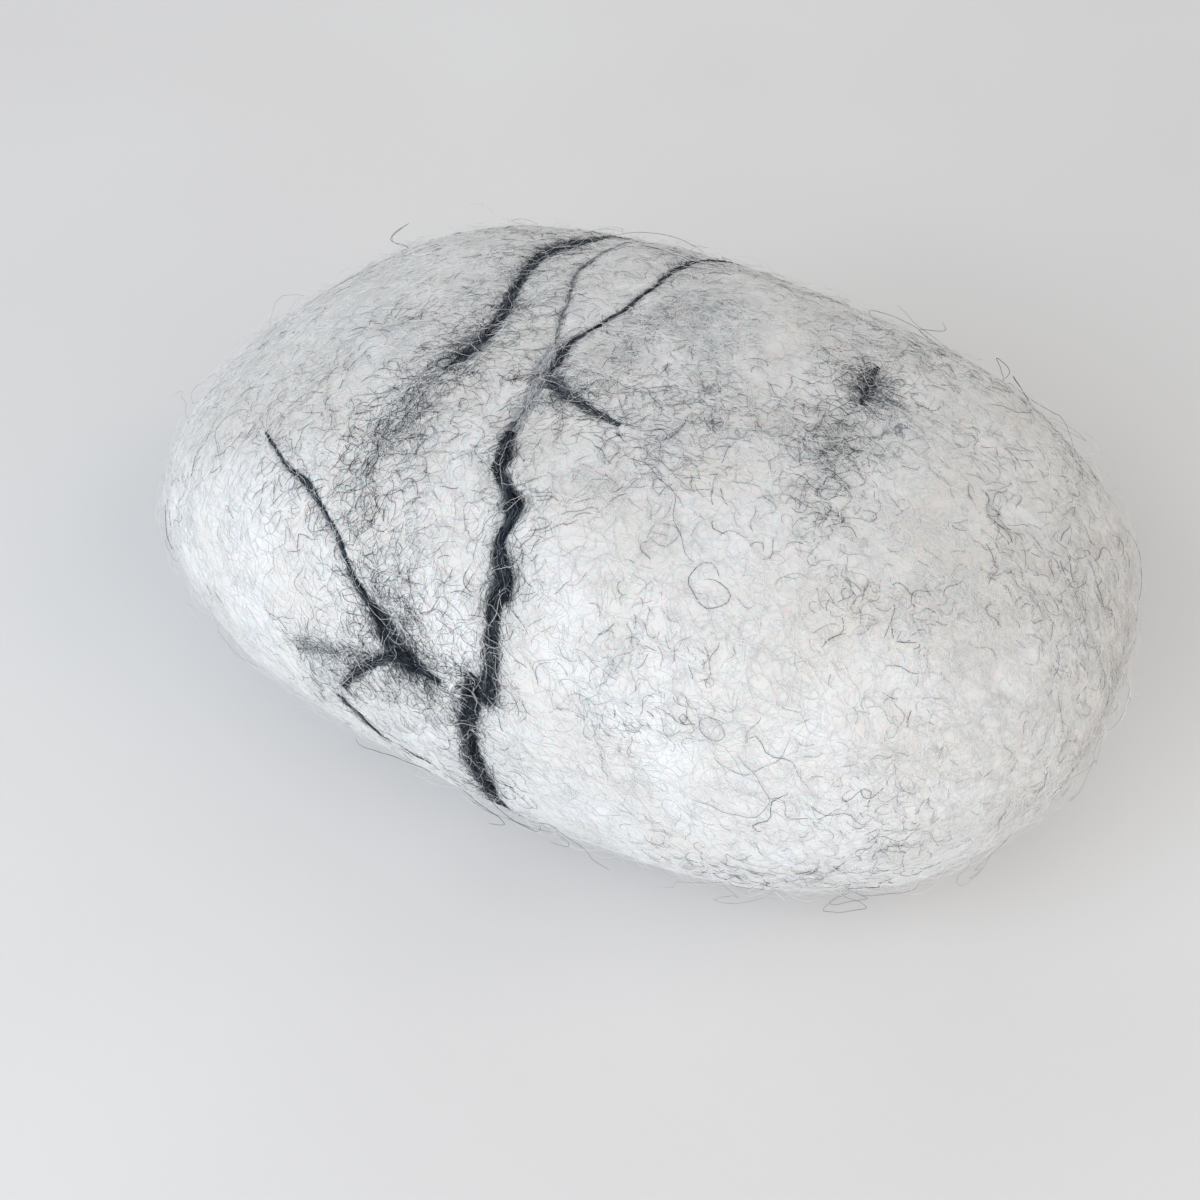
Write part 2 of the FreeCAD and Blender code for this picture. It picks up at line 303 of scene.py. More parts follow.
def unit(vectors):
    """The vectors at length one."""
    return vectors / np.maximum(np.linalg.norm(vectors, axis=-1, keepdims=True), 1e-12)


def lay_strands(skin, strands):
    """Points of the skin along each strand of a lock, with normals, sides and half widths."""
    laid = []
    for stations in strands:
        finely = np.linspace(0, len(stations) - 1, (len(stations) - 1) * ROUTE_STEPS + 1)
        rows = curve_through(stations, finely)
        points, normals = skin.drop(MIDDLE + HALF * rows[:, :3] / 100)
        ahead = unit(np.gradient(points, axis=0))
        laid.append(dict(points=points, normals=normals, side=unit(np.cross(normals, ahead)),
                         half=np.maximum(rows[:, 3], 0.12) * MM / 2))
    return laid


def read_strand(strand, along):
    """A strand's points, sides and half widths at shares of its length."""
    run = np.linalg.norm(np.diff(strand["points"], axis=0), axis=1)
    at = np.concatenate([[0], np.cumsum(run)])
    along = along * at[-1]
    points, side = (np.stack([np.interp(along, at, strand[key][:, axis]) for axis in range(3)], -1)
                    for key in ("points", "side"))
    return points, side, np.interp(along, at, strand["half"])


def strand_length(strand):
    """Length of a strand along its middle."""
    return np.linalg.norm(np.diff(strand["points"], axis=0), axis=1).sum()


def lay_routes(skin):
    """The strands of every lock, laid on the skin."""
    return {name: lay_strands(skin, strands) for name, strands in LOCKS.items()}


def lock_tree(routes):
    """A search tree of points along the locks, with each point's half width and white cover."""
    points, halves, covers = [], [], []
    for name, strands in routes.items():
        for strand in strands:
            points += list(strand["points"])
            halves += list(strand["half"])
            covers += [LOCK_FELTING[name]["cover"]] * len(strand["points"])
    tree = kdtree.KDTree(len(points))
    for i, point in enumerate(points):
        tree.insert(point, i)
    tree.balance()
    return tree, np.array(halves), np.array(covers)


def lock_closeness(points, locks):
    """How far each point is from the nearest lock, in its half widths, and that lock's cover."""
    tree, halves, covers = locks
    flat = points.reshape(-1, 3)
    nearest = [tree.find(point)[1:] for point in flat]
    index = np.array([n[0] for n in nearest])
    away = np.array([n[1] for n in nearest]) / halves[index]
    return away.reshape(points.shape[:-1]), covers[index].reshape(points.shape[:-1])


def lumps(points, size, seed):
    """Smooth noise from -1 to 1 with features of a size, read at each point."""
    shift = Vector((seed, seed * 0.7, -seed))
    return np.array([noise.noise(Vector(p) / size + shift) for p in points])


def cloudiness(points):
    """How much fine dark wool is carded into the felt at each point, from 0 to 1."""
    total = np.zeros(len(points))
    for x, y, z, radius, strength in CLOUDS:
        away = np.linalg.norm(points - place((x, y, z)), axis=1) / (radius * MM)
        total = np.maximum(total, strength * np.exp(-away**2))
    patchy = 0.75 + 0.8 * lumps(points, 5 * MM, 3) + 0.6 * lumps(points, 2.2 * MM, 4)
    return np.clip((total + 0.05) * patchy, 0, 1)


def felt_skin(smooth_skin, locks):
    """The jacket's visible form: the pebble with the lumps and grooves of hand felting."""
    shape = bmesh.new()
    bmesh.ops.create_cube(shape, size=2)
    bmesh.ops.subdivide_edges(shape, edges=shape.edges, cuts=SKIN_CUTS, use_grid_fill=True)
    grid = np.array([v.co for v in shape.verts])
    # The tangent spreads the patches evenly, and the stretch follows the pebble's proportions.
    headings = unit(unit(np.tan(grid * math.pi / 4)) * HALF)
    points, normals = smooth_skin.drop(MIDDLE + headings * OUTSIDE)
    away, cover = lock_closeness(points, locks)
    relief = 0.42 * lumps(points, 13 * MM, 11) + 0.2 * lumps(points, 5.5 * MM, 12)
    relief += 0.09 * lumps(points, 2.2 * MM, 13) + 0.05 * lumps(points, 0.9 * MM, 14)
    groove = 0.34 * np.exp(-(away / 1.5) ** 2)
    level = np.clip((points[:, 2] - LOW[2]) / (3 * MM), 0, 1)
    points = points + normals * ((relief * level - groove - 0.1) * MM)[:, None]
    points[:, 2] = np.maximum(points[:, 2], LOW[2])
    for vertex, point in zip(shape.verts, points):
        vertex.co = point
    mesh = bpy.data.meshes.new("felt_jacket")
    shape.to_mesh(mesh)
    shape.free()
    solid = np.clip(1.2 - cover, 0, 1)
    halo = 0.5 * np.exp(-(away / 3.2) ** 2) * solid
    write_attribute(mesh, "dark_wool", np.exp(-(away / 1.25) ** 2) * solid)
    write_attribute(mesh, "grey_cloud", np.clip(cloudiness(points) + halo, 0, 1))
    return mesh


def write_attribute(mesh, name, values):
    """Stores one number for each vertex under a name that a material reads."""
    layer = mesh.attributes.new(name, "FLOAT", "POINT")
    layer.data.foreach_set("value", np.asarray(values, np.float32))


# ---------------------------------------------------------------- loose fibre

# Kinds of fibre. run: how far its run of random numbers starts from the seed, to which the
# piece's number is added. steps: points along a fibre. length: the shortest and the longest, in
# millimetres. curl: its steady turn, and crimp: its wave's turn, both in radians per millimetre.
KINDS = {
    "coat": dict(run=0, steps=11, length=(5, 12), curl=0.4, crimp=0.8),
    "hair": dict(run=40, steps=36, length=(7, 28), curl=0.5, crimp=1.4),
    "long_curl": dict(run=45, steps=44, length=(12, 34), curl=0.35, crimp=1.2),
    "nest": dict(run=50, steps=18, length=(2.5, 9), curl=0.9, crimp=1.5),
    "tangle": dict(run=60, steps=20, length=(3, 10), curl=0.5, crimp=1.4),
    "stray": dict(run=61, steps=24, length=(7, 16), curl=0.4, crimp=0.5),
    "short_fuzz": dict(run=80, steps=12, length=(4, 9), curl=0.25, crimp=0.9),
    "long_fuzz": dict(run=82, steps=12, length=(8, 18), curl=0.3, crimp=0.9),
    "wisp": dict(run=100, steps=14, length=(4, 10)),
    "veil": dict(run=140, steps=14, length=(4, 10)),
    "trail": dict(run=200, steps=22, length=(2.5, 11)),
    "fray": dict(run=250, steps=22, length=(2.5, 11)),
}


class Wool:
    """Grows fibres of one kind on the skin with their own run of random numbers."""

    def __init__(self, skin, kind, number=0):
        self.skin = skin
        self.kind = KINDS[kind]
        self.steps = self.kind["steps"]
        self.random = np.random.default_rng(SEED + self.kind["run"] + number)

    def lengths(self, count):
        """Lengths of fibres of this kind."""
        return self.random.uniform(*self.kind["length"], count) * MM

    def scatter(self, count):
        """Points spread evenly over the whole skin."""
        heading = unit(self.random.normal(size=(count, 3)))
        return self.skin.drop(MIDDLE + unit(heading * HALF) * OUTSIDE)[0]

    def scatter_near(self, centre, radius, count):
        """Points of the skin spread round a place."""
        return self.skin.drop(centre + self.random.normal(size=(count, 3)) * radius * 0.6)[0]

    def grow(self, starts, length):
        """Walks a fibre of this kind over the skin from each start."""
        return self.walk(starts, length, self.kind["curl"], self.kind["crimp"])

    def walk(self, starts, length, curl, crimp, headings=None):
        """Walks a fibre over the skin from each start. Returns its points and their normals."""
        count = len(starts)
        step = (length / (self.steps - 1))[:, None]
        phases = self.random.uniform(0, 2 * math.pi, (2, count))
        waves = self.random.uniform(2.2, 5.0, count) * MM
        bends = self.random.uniform(7.0, 14.0, count) * MM
        steady = self.random.normal(size=count) * curl / MM
        points, normals = self.skin.drop(starts)
        if headings is None:
            headings = self.random.normal(size=(count, 3))
        ahead = unit(np.cross(normals, headings))
        path, outward = [points], [normals]
        for i in range(self.steps - 1):
            walked = step[:, 0] * i
            turn = steady + crimp / MM * np.sin(2 * math.pi * walked / waves + phases[0])
            turn += 0.5 * crimp / MM * np.sin(2 * math.pi * walked / bends + phases[1])
            angle = (turn * step[:, 0])[:, None]
            ahead = unit(ahead * np.cos(angle) + np.cross(normals, ahead) * np.sin(angle))
            points, normals = self.skin.drop(points + ahead * step)
            ahead = unit(ahead - normals * (ahead * normals).sum(1, keepdims=True))
            path.append(points)
            outward.append(normals)
        return np.stack(path, 1), np.stack(outward, 1)

    def weave(self, count, low, high, waves=1.5):
        """Heights of fibres that rise and dive between two heights along their length."""
        along = np.linspace(0, 1, self.steps)[None]
        phase = self.random.uniform(0, 2 * math.pi, (count, 1))
        beats = self.random.uniform(0.6, 1.4, (count, 1)) * waves
        wave = 0.5 + 0.5 * np.sin(2 * math.pi * beats * along + phase)
        return low + (high - low) * wave

    def arch(self, count, height):
        """Heights of fibres that stand off the skin, some as loops and some with a free end."""
        along = np.linspace(0, 1, self.steps)[None]
        top = height * self.random.uniform(0.25, 1.0, (count, 1)) ** 1.5
        loop = np.sin(math.pi * along) ** 0.8
        free = along**1.4
        is_loop = self.random.random((count, 1)) < 0.7
        return top * np.where(is_loop, loop, free) - 0.05 * MM


def fibre_tubes(name, paths, outward, thickness, materials, tones=None):
    """One mesh of closed three-sided tubes, thinner towards both ends, along the given paths.
    tones gives each tube's place in the list of materials."""
    count, steps = paths.shape[:2]
    paths = paths.copy()
    paths[..., 2] = np.maximum(paths[..., 2], LOW[2] + FLOOR_GAP)
    ahead = unit(np.gradient(paths, axis=1))
    side = unit(np.cross(ahead, outward + 0.01))
    up = np.cross(side, ahead)
    along = np.linspace(0, 1, steps)
    taper = 0.35 + 0.65 * np.sin(math.pi * along) ** 0.4
    radius = np.broadcast_to(thickness, count)[:, None] / 2 * taper[None]
    corners = (2 * math.pi * np.arange(3) / 3)[:, None]
    ring = side[:, :, None] * np.cos(corners) + up[:, :, None] * np.sin(corners)
    points = (paths[:, :, None] + ring * radius[:, :, None, None]).reshape(-1, 3)
    first = (np.arange(count) * steps * 3)[:, None, None]
    rung = first + (np.arange(steps - 1) * 3)[None, :, None]
    corner = np.arange(3)[None, None]
    following = (corner + 1) % 3
    walls = np.stack([rung + corner, rung + following, rung + 3 + following, rung + 3 + corner],
                     -1).reshape(-1, 4)
    start_caps = first[:, 0] + np.array([[2, 1, 0]])
    end_caps = first[:, 0] + (steps - 1) * 3 + np.array([[0, 1, 2]])
    tones = np.zeros(count, int) if tones is None else tones
    face_tones = np.concatenate([np.repeat(tones, (steps - 1) * 3), tones, tones])
    return mesh_object(name, points, [walls, start_caps, end_caps], materials, face_tones)


def mesh_object(name, points, face_sets, materials, face_tones=None):
    """A smooth-shaded object from points and arrays of faces, each face with its material."""
    corners = np.concatenate([faces.ravel() for faces in face_sets])
    sizes = np.concatenate([np.full(len(faces), faces.shape[1]) for faces in face_sets])
    mesh = bpy.data.meshes.new(name)
    mesh.vertices.add(len(points))
    mesh.vertices.foreach_set("co", points.astype(np.float32).ravel())
    mesh.loops.add(len(corners))
    mesh.loops.foreach_set("vertex_index", corners.astype(np.int32))
    mesh.polygons.add(len(sizes))
    mesh.polygons.foreach_set("loop_start", (np.cumsum(sizes) - sizes).astype(np.int32))
    if face_tones is not None:
        mesh.polygons.foreach_set("material_index", face_tones.astype(np.int32))
    mesh.update(calc_edges=True)
    mesh.shade_smooth()
    return show(name, mesh, materials)


def show(name, mesh, materials):
    """Puts a mesh in the scene with its materials."""
    for material in materials:
        mesh.materials.append(material)
    piece = bpy.data.objects.new(name, mesh)
    bpy.context.scene.collection.objects.link(piece)
    return piece


# ---------------------------------------------------------------- materials

def colour(hex_code):
    """Linear RGBA of an sRGB hex colour."""
    channels = [int(hex_code[i:i + 2], 16) / 255 for i in (1, 3, 5)]
    linear = [c / 12.92 if c <= 0.04045 else ((c + 0.055) / 1.055) ** 2.4 for c in channels]
    return (*linear, 1.0)


def add_node(tree, kind, sockets=None, **attributes):
    """Adds a node, sets its attributes, and gives each socket its value or joins it to another."""
    node = tree.nodes.new(kind)
    for name, value in attributes.items():
        setattr(node, name, value)
    for socket, value in (sockets or {}).items():
        if isinstance(value, bpy.types.NodeSocket):
            tree.links.new(value, node.inputs[socket])
        else:
            node.inputs[socket].default_value = value
    return node


def new_material(name):
    """An empty material and its tree."""
    material = bpy.data.materials.new(name)
    material.use_nodes = True
    material.node_tree.nodes.clear()
    return material, material.node_tree


def grain(tree, size_mm, detail=2.0, distortion=0.0, turn=(0, 0, 0), stretch=(1, 1, 1)):
    """Noise from 0 to 1 with features of a size in millimetres, in the part's own frame."""
    frame_point = add_node(tree, "ShaderNodeTexCoord").outputs["Object"]
    point = add_node(tree, "ShaderNodeMapping", {"Vector": frame_point, "Rotation": turn,
                                                 "Scale": stretch}).outputs["Vector"]
    return add_node(tree, "ShaderNodeTexNoise",
                    {"Vector": point, "Scale": 1 / (size_mm * MM), "Detail": detail,
                     "Distortion": distortion}).outputs["Fac"]


def tint(tree, under, over, pattern, low, high, where=None):
    """Lays a colour over another as a pattern climbs from low to high, and only there if told.
    A colour is a hex code or a socket."""
    share = add_node(tree, "ShaderNodeMapRange", {"Value": pattern, "From Min": low,
                                                  "From Max": high},
                     interpolation_type="SMOOTHSTEP").outputs["Result"]
    if where:
        share = add_node(tree, "ShaderNodeMath", {0: share, 1: where},
                         operation="MULTIPLY").outputs[0]
    under, over = (colour(c) if isinstance(c, str) else c for c in (under, over))
    # A Mix node's sockets share their names, so they go by number: 0 the share, 6 and 7 colours.
    return add_node(tree, "ShaderNodeMix", {0: share, 6: under, 7: over},
                    data_type="RGBA").outputs[2]


def off_thread(tree, size_mm, distortion=0.6):
    """0 along thin curling lines, drawn as stray dark fibre or as painted shade between white
    fibre bundles, and more beside them: how far smooth noise is from its middle value."""
    middle = add_node(tree, "ShaderNodeMath",
                      {0: grain(tree, size_mm, 1.0, distortion), 1: 0.5}, operation="SUBTRACT")
    return add_node(tree, "ShaderNodeMath", {0: middle.outputs[0]},
                    operation="ABSOLUTE").outputs[0]


def finish_wool(tree, base, settings, height=None, depth_mm=0.0, strength=0.0):
    """Matt wool, with relief where it is wanted."""
    wool = {"Base Color": base, "Roughness": 0.9, "Sheen Roughness": 0.6,
            "Specular IOR Level": 0.2, "IOR": 1.55, **settings}
    if height:
        wool["Normal"] = add_node(tree, "ShaderNodeBump",
                                  {"Height": height, "Distance": depth_mm * MM,
                                   "Strength": strength}).outputs["Normal"]
    shader = add_node(tree, "ShaderNodeBsdfPrincipled", wool)
    add_node(tree, "ShaderNodeOutputMaterial", {"Surface": shader.outputs["BSDF"]})


def needle_felted_white_wool():
    """White wool, wetted and rubbed until it locks: a dull, soft skin with a cast of grey where
    dark fibre was carded in, thin dark curls just under the surface, black under the locks, and
    painted shade as light grey curling lines between the white fibre bundles."""
    material, tree = new_material("needle_felted_white_wool")
    cloud = add_node(tree, "ShaderNodeAttribute", attribute_name="grey_cloud").outputs["Fac"]
    stain = add_node(tree, "ShaderNodeAttribute", attribute_name="dark_wool").outputs["Fac"]
    white = tint(tree, "#e3e4e4", "#dcdad6", grain(tree, 7.0), 0.3, 0.7)
    patchy = grain(tree, 4.0)
    # Painted shade: light grey curling lines, in patches, standing for the shadows between the
    # white fibre bundles.
    white = tint(tree, white, "#d0d2d3", off_thread(tree, 1.4), 0.05, 0.0, patchy)
    clotted = add_node(tree, "ShaderNodeMath", {0: cloud, 1: grain(tree, 1.3, 3.0)},
                       operation="MULTIPLY").outputs[0]
    greyed = tint(tree, white, "#92979b", clotted, 0.02, 0.75)
    curled = tint(tree, greyed, "#4a525b", off_thread(tree, 2.6), 0.014, 0.0, cloud)
    curled = tint(tree, curled, "#4a525b", off_thread(tree, 1.5), 0.018, 0.0, cloud)
    ragged = add_node(tree, "ShaderNodeMath",
                      {0: grain(tree, 0.6, 3.0), 1: 0.5, 2: stain}, operation="MULTIPLY_ADD")
    base = tint(tree, curled, "#0f1317", ragged.outputs[0], 0.72, 1.05)
    finish_wool(tree, base, {"Sheen Weight": 0.25, "Subsurface Weight": 0.3,
                             "Subsurface Scale": 1.0 * MM}, grain(tree, 0.7, 4.0), 0.1, 0.15)
    return material


def wool_fibre(name, light, dark, size_mm, sheen):
    """One colour of combed fibre, lighter and darker along its length. Only pale wool glows at its
    rim; on black the same sheen would turn it grey."""
    material, tree = new_material(name)
    base = tint(tree, light, dark, grain(tree, size_mm, 3.0), 0.3, 0.7)
    finish_wool(tree, base, {"Roughness": 0.75, "Sheen Weight": sheen})
    return material


def carded_batt(name, light, dark, fibre_mm):
    """Undyed wool, carded into a sheet and half felted: creamy, with streaks along its fibre."""
    material, tree = new_material(name)
    streaks = grain(tree, fibre_mm, 4.0, turn=(0.3, 0.2, 0.5), stretch=(1.0, 4.0, 2.0))
    finish_wool(tree, tint(tree, light, dark, streaks, 0.35, 0.65), {"Sheen Weight": 0.25},
                streaks, 0.2, 0.5)
    return material


def satin_laminate():
    """Pale satin table laminate: nearly even, with a faint cloud and a broad, dull gloss."""
    material, tree = new_material("satin_laminate")
    base = tint(tree, "#e6e7e7", "#e2e2e2", grain(tree, 90.0), 0.3, 0.7)
    shader = add_node(tree, "ShaderNodeBsdfPrincipled",
                      {"Base Color": base, "Roughness": 0.6, "IOR": 1.5})
    add_node(tree, "ShaderNodeOutputMaterial", {"Surface": shader.outputs["BSDF"]})
    return material


FELT = needle_felted_white_wool()
WHITE = wool_fibre("white_combed_wool", "#f4f5f5", "#e9eaea", 3.0, 0.25)
BLACK = wool_fibre("blue_black_roving", "#0b1219", "#202a36", 1.5, 0.0)
SLATE = wool_fibre("slate_grey_roving", "#323b45", "#515b66", 1.5, 0.05)
SILVER = wool_fibre("silver_grey_wool", "#737c86", "#979ea6", 2.0, 0.1)
VEIL = wool_fibre("blue_white_wool", "#d3dae2", "#a9b4c2", 2.0, 0.25)
DARKS = [BLACK, SLATE, SILVER]

# ---------------------------------------------------------------- the pieces

# Thicknesses in millimetres. Wool is about 0.03 thick, and drawn here up to twice that, so
# that it shows.
COAT_THICKNESS = 0.048
FUZZ_THICKNESS = 0.034
HAIR_THICKNESS = 0.047   # times 0.55 for the finest hair and 1.15 for the coarsest
STRAY_THICKNESS = 0.06

COAT_PIECES = 6
COAT_FIBRES = 3100       # in each piece of the coat
FUZZ_PIECES = 2
FUZZ_FIBRES = 2600       # in each piece of short fuzz
LONG_FUZZ_FIBRES = 170
HAIR_PIECES = 2
HAIR_STARTS = 1300       # in each piece, before the white parts lose most of theirs
CURL_STARTS = 950
NEST_CENTRES = 300
NEST_FIBRES = 6
VEIL_FIBRES = 34         # along each millimetre of the veil


def mix_of(wool, count, mix):
    """A tone for each fibre, drawn from a mix."""
    return wool.random.choice(3, count, p=MIXES[mix])


def hair_thickness(wool, count):
    """Thicknesses of dark fibre: mostly fine, with some coarse hair among it."""
    return HAIR_THICKNESS * MM * (0.55 + 0.6 * wool.random.random(count) ** 2.5)


def lay_white_coat(felt, locks, number):
    """White fibre that lies in the skin and dives under the locks, but for the few that cross."""
    wool = Wool(felt, "coat", number)
    length = wool.lengths(COAT_FIBRES)
    path, outward = wool.grow(wool.scatter(COAT_FIBRES), length)
    height = wool.weave(COAT_FIBRES, -0.04 * MM, 0.12 * MM)
    away, cover = lock_closeness(path, locks)
    stays_under = wool.random.random((COAT_FIBRES, 1)) > cover
    dive = np.exp(-(away / 1.3) ** 4) * stays_under
    height = height * (1 - dive) - 0.45 * MM * dive + 0.1 * MM * np.exp(-away**2)
    path = path + outward * height[..., None]
    piece = fibre_tubes(f"white_coat_{number}", path, outward, COAT_THICKNESS * MM, [WHITE])
    return piece


def raise_fuzz(felt, kind, number, count, height_mm, materials):
    """Fibre that stands off the skin in loops and loose ends."""
    wool = Wool(felt, kind, number)
    length = wool.lengths(count)
    path, outward = wool.grow(wool.scatter(count), length)
    path = path + outward * wool.arch(count, height_mm * MM)[..., None]
    tone = wool.random.choice(len(materials), count)
    name = f"{kind}_{number + 1}" if kind == "short_fuzz" else kind
    piece = fibre_tubes(name, path, outward, FUZZ_THICKNESS * MM, materials, tone)
    return piece


def scatter_dark_hairs(felt, number):
    """Single dark hairs that dip in and out of the white, more where it is clouded with grey."""
    wool = Wool(felt, "hair", number)
    starts = wool.scatter(HAIR_STARTS)
    keep = wool.random.random(len(starts)) < 0.02 + 0.8 * cloudiness(starts)
    starts = starts[keep]
    count = len(starts)
    path, outward = wool.grow(starts, wool.lengths(count))
    low = wool.random.uniform(-0.3, -0.06, (count, 1)) * MM
    path = path + outward * wool.weave(count, low, 0.1 * MM, 4.0)[..., None]
    piece = fibre_tubes(f"dark_hairs_{number}", path, outward, hair_thickness(wool, count), DARKS,
                        mix_of(wool, count, "grey"))
    return piece


def lay_long_curls(felt):
    """Long crimped dark hairs on top of the white, each drawn out over a finger's width."""
    wool = Wool(felt, "long_curl")
    starts = wool.scatter(CURL_STARTS)
    starts = starts[wool.random.random(len(starts)) < 0.06 + 0.5 * cloudiness(starts)]
    count = len(starts)
    path, outward = wool.grow(starts, wool.lengths(count))
    path = path + outward * wool.weave(count, -0.14 * MM, 0.12 * MM, 4.0)[..., None]
    piece = fibre_tubes("long_curls", path, outward, hair_thickness(wool, count) * 1.15, DARKS,
                        mix_of(wool, count, "dark"))
    return piece


def curl_small_nests(felt):
    """Nests of short, tightly curled dark fibre that show as broken dashes in the white."""
    wool = Wool(felt, "nest")
    centres = wool.scatter(NEST_CENTRES)
    keep = wool.random.random(len(centres)) < 0.05 + 0.85 * cloudiness(centres)
    starts = np.repeat(centres[keep], NEST_FIBRES, axis=0)
    count = len(starts)
    starts = felt.drop(starts + 1.1 * MM * wool.random.normal(size=(count, 3)))[0]
    path, outward = wool.grow(starts, wool.lengths(count))
    path = path + outward * wool.weave(count, -0.15 * MM, 0.1 * MM, 2.0)[..., None]
    piece = fibre_tubes("curled_nests", path, outward, hair_thickness(wool, count), DARKS,
                        mix_of(wool, count, "grey"))
    return piece


def lay_tangles(felt):
    """Small loose nests of dark fibre."""
    wool = Wool(felt, "tangle")
    starts = np.concatenate([wool.scatter_near(place(spot[:3]), spot[3] * MM, spot[4])
                             for spot in TANGLES])
    count = len(starts)
    path, outward = wool.grow(starts, wool.lengths(count))
    path = path + outward * wool.weave(count, -0.16 * MM, 0.18 * MM, 1.6)[..., None]
    piece = fibre_tubes("frayed_tangles", path, outward, hair_thickness(wool, count), DARKS,
                        mix_of(wool, count, "dark"))
    return piece


def raise_strays(felt):
    """The few long dark hairs that loop clear of the skin."""
    wool = Wool(felt, "stray")
    starts = np.concatenate([wool.scatter_near(place(spot[:3]), 1.5 * MM, spot[3])
                             for spot in STRAYS])
    rise = np.concatenate([np.full(spot[3], spot[4]) for spot in STRAYS])[:, None] * MM
    count = len(starts)
    path, outward = wool.grow(starts, wool.lengths(count))
    path = path + outward * wool.arch(count, rise)[..., None]
    piece = fibre_tubes("stray_loops", path, outward, STRAY_THICKNESS * MM, DARKS,
                        mix_of(wool, count, "grey"))
    return piece


def fray(felt, kind, number, name, strands, per_mm, curl, mix):
    """Loose fibre that follows a route, curls off it and dips under the white."""
    wool = Wool(felt, kind, number)
    starts, ways = [], []
    for strand in strands:
        count = int(per_mm * strand_length(strand) / MM)
        points, side, half = read_strand(strand, wool.random.random(count))
        starts.append(points + side * (wool.random.normal(size=count) * half)[:, None])
        way = side * wool.random.choice([-1, 1], (count, 1))
        ways.append(way + (0.25 + curl) * wool.random.normal(size=(count, 3)))
    starts, ways = np.concatenate(starts), np.concatenate(ways)
    count = len(starts)
    path, outward = wool.walk(starts, wool.lengths(count), curl, 0.7 + curl, ways)
    path = path + outward * wool.weave(count, -0.18 * MM, 0.15 * MM, 1.8)[..., None]
    piece = fibre_tubes(name, path, outward, hair_thickness(wool, count), DARKS,
                        mix_of(wool, count, mix))
    return piece


def felt_strand(name, strands):
    """The solid middle of a lock: flattened felt with a ragged edge, pressed into its groove."""
    girth = 14
    around = 2 * math.pi * np.arange(girth) / girth
    points, face_sets, first = [], [], 0
    for strand in strands:
        rows = len(strand["points"])
        ends = np.sin(math.pi * np.linspace(0, 1, rows)) ** 0.3
        ragged = 0.82 + 0.55 * lumps(strand["points"], 0.9 * MM, 21)
        sway = 0.25 * lumps(strand["points"], 2.3 * MM, 22) * strand["half"]
        half = (strand["half"] * ragged * ends)[:, None, None]
        thick = 0.24 * MM * np.maximum(ends, 0.05)[:, None, None]
        middle = strand["points"] + strand["side"] * sway[:, None] - strand["normals"] * 0.06 * MM
        ring = (middle[:, None] + strand["side"][:, None] * np.cos(around)[:, None] * half
                + strand["normals"][:, None] * np.sin(around)[:, None] * thick)
        flat = ring.reshape(-1, 3)
        flat = flat + 0.14 * MM * unit(flat - MIDDLE) * lumps(flat, 0.5 * MM, 23)[:, None]
        index = first + np.arange(rows * girth).reshape(rows, girth)
        onward = np.roll(index, -1, axis=1)
        face_sets.append(np.stack([index[:-1], onward[:-1], onward[1:], index[1:]],
                                  -1).reshape(-1, 4))
        face_sets += [index[0][None, ::-1], index[-1][None]]
        points.append(flat)
        first += len(flat)
    points = np.concatenate(points)
    points[:, 2] = np.maximum(points[:, 2], LOW[2] + FLOOR_GAP)
    return mesh_object(name, points, face_sets, [BLACK])


def strand_fibres(felt, kind, number, name, strands, fibres, spread, materials, shares):
    """Fibre that runs along a lock, wanders off at its edges and weaves through its own strand."""
    wool = Wool(felt, kind, number)
    end_to_end = np.linspace(-1, 1, wool.steps)
    paths, normals = [], []
    for strand in strands:
        whole = strand_length(strand)
        count = max(4, int(fibres * whole / MM))
        length = np.minimum(wool.lengths(count) / whole, 1)
        begin = wool.random.uniform(-0.1, 1.1, count) - length / 2
        along = np.clip(begin[:, None] + length[:, None] * np.linspace(0, 1, wool.steps), 0, 1)
        middle, side, half = read_strand(strand, along)
        phase = wool.random.uniform(0, 2 * math.pi, (2, count, 1))
        turns = 2 * math.pi * along * whole / (wool.random.uniform(1.5, 4.0, (count, 1)) * MM)
        drift = wool.random.normal(size=(count, 1)) * 0.5
        slant = wool.random.normal(size=(count, 1)) * 0.5 * end_to_end
        flare = 1 + spread * end_to_end**4
        across = half * (drift + slant + 0.3 * np.sin(turns + phase[0])) * flare
        across += 0.1 * MM * np.sin(2 * turns + phase[1])
        points, outward = felt.drop(middle + side * across[..., None])
        height = wool.weave(count, -0.05 * MM, 0.28 * MM)
        height -= 0.08 * MM * np.minimum(np.abs(across) / half, 3)
        paths.append(points + outward * height[..., None])
        normals.append(outward)
    path, outward = np.concatenate(paths), np.concatenate(normals)
    tone = wool.random.choice(len(shares), len(path), p=shares)
    return fibre_tubes(name, path, outward, hair_thickness(wool, len(path)), materials, tone)


def lay_lock(felt, name, strands, number):
    """One dark lock: its felted middle, if it has one, and the fibre that frays from it."""
    felting = LOCK_FELTING[name]
    pieces = [strand_fibres(felt, "wisp", number, name + "_wisps", strands, felting["fibres"],
                            felting["spread"], DARKS, MIXES[felting["mix"]])]
    if felting["felt"]:
        pieces.insert(0, felt_strand(name + "_felt", strands))
    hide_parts(name)
    pieces.append(fray(felt, "fray", number, name + "_fray", strands, felting["fray"], 0.25,
                       felting["mix"]))
    return pieces


def lay_veil(felt):
    """Blue-white fibre drawn over the top of the front vein, where it sinks into the skin."""
    stations = [(-17, -8, 97, 0.8), (-15, -18, 97, 1.5), (-13, -28, 97, 1.6),
                (-12, -37, 96, 1.3), (-11, -45, 94, 0.8)]
    veil = strand_fibres(felt, "veil", 0, "vein_veil", lay_strands(felt, [stations]),
                         VEIL_FIBRES, 0.5, [VEIL, SILVER, WHITE, SLATE], [0.5, 0.1, 0.3, 0.1])
    return veil


